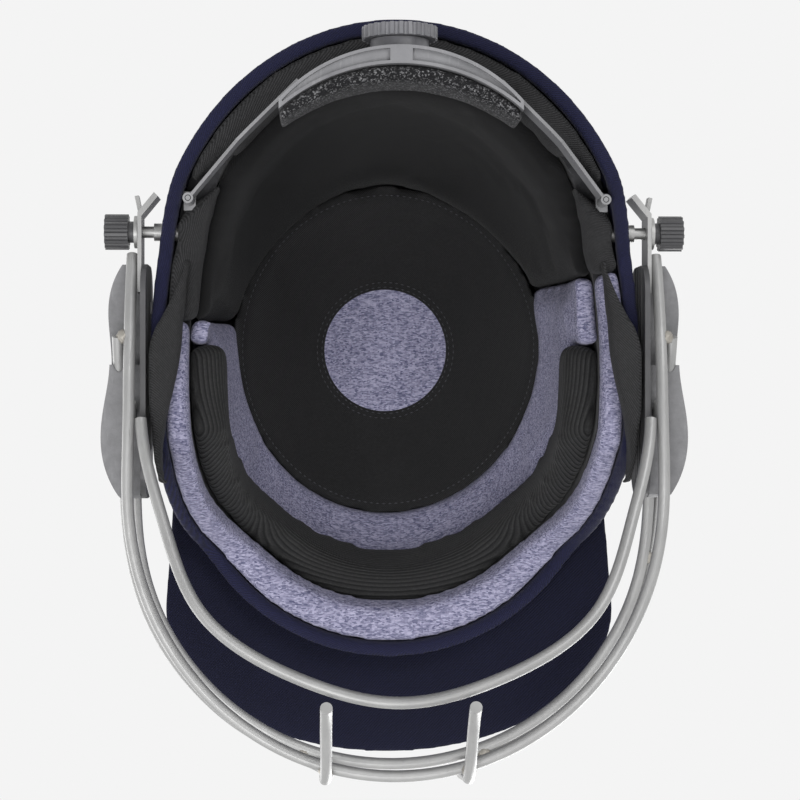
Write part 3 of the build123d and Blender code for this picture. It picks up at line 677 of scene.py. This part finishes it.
binding = free_copy("rim_binding_tape", "rim_binding")
remeshed(binding, TAPE_VOXEL, TRIM_ROUNDS)
smooth_faces(binding)
dress(binding, navy_cloth, "helmet", ["rim_binding"])
peak = free_copy("peak_cloth_bag", "peak_cover", "peak_board")
remeshed(peak, FINE_VOXEL, TRIM_ROUNDS)
smooth_faces(peak)
dress(peak, peak_cloth, "helmet", ["peak_cover"])
print("binding faces", len(binding.data.polygons), "peak faces", len(peak.data.polygons))

# %% [markdown]
# ## Cloth cover
# The cover is cut from six gores sewn together at the crown, and pulled tight over the shell. A cloth
# dropped on the shell would hang in folds that the real one doesn't have. So this is the thin CAD cover
# itself, with even faces, and more smoothing than the rest, because the dome has no edge to lose.

# %% Cover
COVER_ROUNDS = 6

cover = free_copy("shell_cloth", "cloth_cover")
remeshed(cover, FINE_VOXEL, COVER_ROUNDS)
smooth_faces(cover)
dress(cover, navy_cloth, "helmet", ["cloth_cover"])

# %% [markdown]
# ## Stitching
# A seam tells the eye how a thing was made. Each stitch is a short raised bump of thread. Rays find where
# the cloth is, so a row lies on the surface whatever its shape, and the stitches are spaced evenly along it.

# %% Stitch helpers
STITCH, STITCH_GAP = 0.0021, 0.0009
STITCH_WIDTH, STITCH_HEIGHT = 0.00065, 0.00035
SHORTEST_STEP, LONGEST_STEP = 1e-7, 0.02
OVAL_STEPS = 240


def surface_of(piece):
    """Search tree of the piece as it is shown."""
    return BVHTree.FromObject(piece, bpy.context.evaluated_depsgraph_get())


def cast_run(surface, starts, directions):
    """Where rays meet the cloth, with the normals turned back towards where the rays came from."""
    found = []
    for start, direction in zip(starts, directions):
        direction = Vector(direction).normalized()
        place, normal, _, _ = surface.ray_cast(Vector(start), direction)
        if place is not None:
            found.append((place, normal if normal.dot(direction) < 0 else -normal))
    return found


def add_stitch(work, middle, way, side, normal):
    """One stitch: two pointed ends and a square waist."""
    ends = [middle + way * STITCH / 2, middle - way * STITCH / 2]
    waist = [middle + side * STITCH_WIDTH / 2, middle - side * STITCH_WIDTH / 2]
    waist += [middle + normal * STITCH_HEIGHT, middle - normal * STITCH_HEIGHT]
    corner = [work.verts.new(point) for point in ends + waist]
    for end in (0, 1):
        for flank in (2, 3):
            for ridge in (4, 5):
                work.faces.new((corner[end], corner[flank], corner[ridge]))


def stitch_row(name, runs):
    """One object of even stitches along runs of (place, normal)."""
    work = bmesh.new()
    count = 0
    for run in runs:
        left = 0.0
        for (a, normal), (b, _) in zip(run, run[1:]):
            reach = (b - a).length
            if not SHORTEST_STEP <= reach <= LONGEST_STEP:
                continue
            way = (b - a) / reach
            while left < reach:
                add_stitch(work, a + way * left, way, way.cross(normal), normal)
                count += 1
                left += STITCH + STITCH_GAP
            left -= reach
    bmesh.ops.recalc_face_normals(work, faces=work.faces)
    piece = built(name, work)
    smooth_faces(piece)
    piece.data.materials.append(thread)
    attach(piece, "helmet")
    print(name, "stitches:", count)


def oval_run(surface, centre_y, half_width, half_length, from_z, up, part=(0.0, 1.0), steps=OVAL_STEPS):
    """Rays along an oval, or a part of one, seen from above or below. They start at the height from_z."""
    first, last = part
    turns = [2 * math.pi * (first + (last - first) * k / steps) for k in range(steps + 1)]
    starts = [(half_width * math.sin(t), centre_y + half_length * math.cos(t), from_z) for t in turns]
    return cast_run(surface, starts, [(0, 0, up)] * len(starts))


print("stitch length mm:", round(STITCH / MM, 1))

# %% [markdown]
# ## The patch at the crown
# A round piece of the pale knit is sewn on at the crown. Its points are found with rays on the finished
# crown pad, ring by ring, and it stands a cloth's thickness proud, falling away at its turned edge.

# %% Patch on the crown pad
CROWN_RAY_Z = 0.1
PATCH_MIDDLE = (24.5 + SHIFT_Y) * MM
PATCH_RADIUS = 0.03
PATCH_PROUD = 0.0011
PATCH_CLEAR = 0.0001
PATCH_EDGE_POWER = 10
PATCH_RINGS = 24
PATCH_TURNS = 96

crown_surface = surface_of(pads["crown_cloth"])
work = bmesh.new()
rings = []
for ring in range(1, PATCH_RINGS + 1):
    share = ring / PATCH_RINGS
    proud = PATCH_PROUD * (1 - share**PATCH_EDGE_POWER) + PATCH_CLEAR
    reach = PATCH_RADIUS * share
    found = oval_run(crown_surface, PATCH_MIDDLE, reach, reach, CROWN_RAY_Z, 1, steps=PATCH_TURNS)
    rings.append([work.verts.new(point + normal * proud) for point, normal in found[:-1]])
for inner, outer in zip(rings, rings[1:]):
    for k in range(len(inner)):
        after = (k + 1) % len(inner)
        work.faces.new((inner[k], inner[after], outer[after], outer[k]))
work.faces.new(rings[0])
bmesh.ops.recalc_face_normals(work, faces=work.faces)
patch = built("crown_patch_cloth", work)
smooth_faces(patch)
dress(patch, heather, "helmet", ["crown_patch"])
print("patch points:", len(patch.data.vertices))

# %% [markdown]
# Two rows run round the patch, one goes round the crown pad's rim, and three follow the peak's edge.

# %% Rows on the crown pad and the peak
CROWN_MIDDLE = (24.0 + SHIFT_Y) * MM
CROWN_ROW = (0.0685, 0.0745)
PATCH_ROWS = (0.0312, 0.0335)
PEAK_MIDDLE = (-95.0 + SHIFT_Y) * MM
PEAK_HALF_WIDTH, PEAK_REACH = 0.103, 0.0688
PEAK_INSETS = (0.004, 0.0075, 0.011)
PEAK_PART = (0.27, 0.73)
PEAK_RAY_Z = 0.3

stitch_row("crown_rim_stitches", [oval_run(crown_surface, CROWN_MIDDLE, *CROWN_ROW, CROWN_RAY_Z, 1)])
stitch_row(
    "patch_ring_stitches",
    [oval_run(crown_surface, PATCH_MIDDLE, row, row, CROWN_RAY_Z, 1) for row in PATCH_ROWS],
)
peak_surface = surface_of(peak)
rows = []
for inset in PEAK_INSETS:
    ends = (PEAK_HALF_WIDTH - inset, PEAK_REACH - inset)
    rows.append(oval_run(peak_surface, PEAK_MIDDLE, *ends, PEAK_RAY_Z, -1, PEAK_PART))
stitch_row("peak_edge_stitches", rows)

# %% [markdown]
# Each seam of the cover is sewn down on both sides, so two rows run up every gore's edge. Their rays come
# in from all round, towards the middle of the dome.

# %% Seams between the gores of the cover
GORES = 6
SEAM_SPLIT = 0.0022
SEAM_RAYS = 90
SEAM_FROM_DEGREES, SEAM_OVER_DEGREES = -12, 99
SEAM_RAY_LENGTH = 0.3
DOME_MIDDLE = Vector((0, 0.025, 0.09))
UPWARD = Vector((0, 0, 1))

cover_surface = surface_of(cover)
seams = []
for k in range(GORES):
    turn = 2 * math.pi * (k + 0.5) / GORES
    out = Vector((math.sin(turn), math.cos(turn), 0))
    side = Vector((math.cos(turn), -math.sin(turn), 0))
    for edge in (-SEAM_SPLIT, SEAM_SPLIT):
        starts = []
        for step in range(SEAM_RAYS):
            lift = math.radians(SEAM_FROM_DEGREES + SEAM_OVER_DEGREES * step / (SEAM_RAYS - 1))
            outward = out * math.cos(lift) + UPWARD * math.sin(lift)
            starts.append(DOME_MIDDLE + outward * SEAM_RAY_LENGTH + side * edge)
        aims = [DOME_MIDDLE + side * edge - start for start in starts]
        seams.append(cast_run(cover_surface, starts, aims))
stitch_row("gore_stitches", seams)

# %% [markdown]
# ## Weld beads
# The wires of a face guard are welded where they touch. A small uneven bead fills each place where an
# upright and a bar come close enough, and their nearest points tell where it sits, so no place has to be
# typed in. The chin bar passes the uprights' ends too far off for that, so it has no bead.

# %% Welds
UPRIGHTS = ("upright_left", "upright_right")
BARS = ("frame_bar", "upper_bar", "chin_bar")
BEAD = 0.0030
BEAD_SEARCH, BEAD_TOUCH, BEAD_APART = 0.004, 0.0015, 0.02
BEADS_AT_MOST = 3
BEAD_WAVE = 0.12
WAVES_X, WAVES_Y, WAVES_Z = 2600, 2100, 1700

work = bmesh.new()
count = 0
for upright in UPRIGHTS:
    points = [vertex.co for vertex in nodes[upright].data.vertices]
    for bar in BARS:
        bar_surface = surface_of(nodes[bar])
        near = []
        for point in points:
            place, _, _, far = bar_surface.find_nearest(point, BEAD_SEARCH)
            if place is not None:
                near.append((far, (point + place) / 2))
        spots = []
        for far, middle in sorted(near, key=lambda item: item[0]):
            if far < BEAD_TOUCH and all((middle - other).length > BEAD_APART for other in spots):
                spots.append(middle)
        for middle in spots[:BEADS_AT_MOST]:
            made = bmesh.ops.create_icosphere(work, subdivisions=3, radius=BEAD)["verts"]
            for vertex in made:
                x, y, z = vertex.co
                wave = math.sin(x * WAVES_X) * math.cos(y * WAVES_Y + z * WAVES_Z)
                vertex.co = middle + vertex.co * (1 + BEAD_WAVE * wave)
            count += 1
beads = built("weld_beads", work)
smooth_faces(beads)
beads.data.materials.append(weld_steel)
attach(beads, "face_guard")
print("weld beads:", count)

# %% [markdown]
# ## Floor, light and camera
# The photograph looks straight up into the helmet, so the camera is under the floor. The floor lets a camera
# look through it from behind and lets light pass up, but from above it is a plain pale floor with a shadow.

# %% Floor
FLOOR_HALF = 6.0
FLOOR_DROP = 0.0006
FLOOR_ROUGHNESS = 0.9

floor_mesh = bpy.data.meshes.new("floor")
corners = [(x * FLOOR_HALF, y * FLOOR_HALF, 0) for x, y in ((-1, -1), (1, -1), (1, 1), (-1, 1))]
floor_mesh.from_pydata(corners, [], [(0, 1, 2, 3)])
floor = placed("floor", floor_mesh)
floor.location.z = -FLOOR_DROP
paint, tree, shader = new_material("floor_paint", 0.0, FLOOR_ROUGHNESS)
shader.inputs["Base Color"].default_value = colour(236, 236, 236)
clear = add(tree, "ShaderNodeBsdfTransparent")
path = add(tree, "ShaderNodeLightPath")
behind = add(tree, "ShaderNodeNewGeometry").outputs["Backfacing"]
see_through = math_node(tree, "MAXIMUM", behind, path.outputs["Is Shadow Ray"])
mix = add(tree, "ShaderNodeMixShader")
tree.links.new(see_through, mix.inputs[0])
tree.links.new(shader.outputs[0], mix.inputs[1])
tree.links.new(clear.outputs[0], mix.inputs[2])
tree.links.new(mix.outputs[0], tree.nodes["Material Output"].inputs["Surface"])
floor_mesh.materials.append(paint)
print("floor half width m:", FLOOR_HALF)

# %% [markdown]
# The photo's light is soft and comes from all round, with a little more from the camera's side. A weaker
# fill than the backdrop itself keeps the hollow of the helmet dark, while the backdrop still shows pale.
# Two soft lamps light the inside from below, and two light the dome for the views from above.

# %% World and lamps
FILL_STRENGTH = 0.55
LAMPS = [
    # name, place, height aimed at, width and power
    ("under_soft", (0.35, -0.5, -1.1), 0.08, 0.9, 14.0),
    ("under_back", (-0.5, 0.6, -1.0), 0.08, 0.7, 7.0),
    ("over_key", (-0.9, -1.2, 1.6), 0.1, 1.2, 26.0),
    ("over_fill", (1.3, -0.4, 1.2), 0.1, 1.4, 14.0),
]

world = bpy.data.worlds.new("studio")
bpy.context.scene.world = world
world.use_nodes = True
sky = world.node_tree
shown = sky.nodes["Background"]
shown.inputs["Color"].default_value = colour(244, 244, 244)
shown.inputs["Strength"].default_value = 1.0
fill_light = add(sky, "ShaderNodeBackground", Color=(1, 1, 1, 1), Strength=FILL_STRENGTH)
rays = add(sky, "ShaderNodeLightPath")
seen = math_node(sky, "MAXIMUM", rays.outputs["Is Camera Ray"], rays.outputs["Is Transmission Ray"])
seen = math_node(sky, "MAXIMUM", seen, rays.outputs["Is Glossy Ray"])
choose = add(sky, "ShaderNodeMixShader")
sky.links.new(seen, choose.inputs[0])
sky.links.new(fill_light.outputs[0], choose.inputs[1])
sky.links.new(shown.outputs[0], choose.inputs[2])
sky.links.new(choose.outputs[0], sky.nodes["World Output"].inputs["Surface"])
for name, place, aim_z, width, power in LAMPS:
    data = bpy.data.lights.new(name, "AREA")
    data.size = width
    data.energy = power
    light = placed(name, data)
    light.location = place
    light.rotation_euler = (Vector((0, 0, aim_z)) - Vector(place)).to_track_quat("-Z", "Y").to_euler()
print("lamps:", len(LAMPS))

# %% [markdown]
# The camera stands 0.8 m under the lowest edge, as far as the widths in the photo ask for. The helmet leans
# a little to one side there, so the camera is tilted about a line near the rim.

# %% Camera
CAMERA_DOWN = 0.8
SENSOR = 36.0
LENS = 90.3
TILT = math.radians(2.4)
TILT_ABOUT = 0.015

camera_data = bpy.data.cameras.new("camera")
camera_data.sensor_width = SENSOR
camera_data.lens = LENS
camera = placed("camera", camera_data)
camera.location = (math.tan(TILT) * (CAMERA_DOWN + TILT_ABOUT), SHIFT_Y * MM, -CAMERA_DOWN)
camera.rotation_euler = (0, math.pi - TILT, 0)
bpy.context.scene.camera = camera
bpy.context.scene.view_settings.view_transform = "Standard"
print("camera at", [round(part, 3) for part in camera.location])

# %% [markdown]

# %% End
print("scene built")
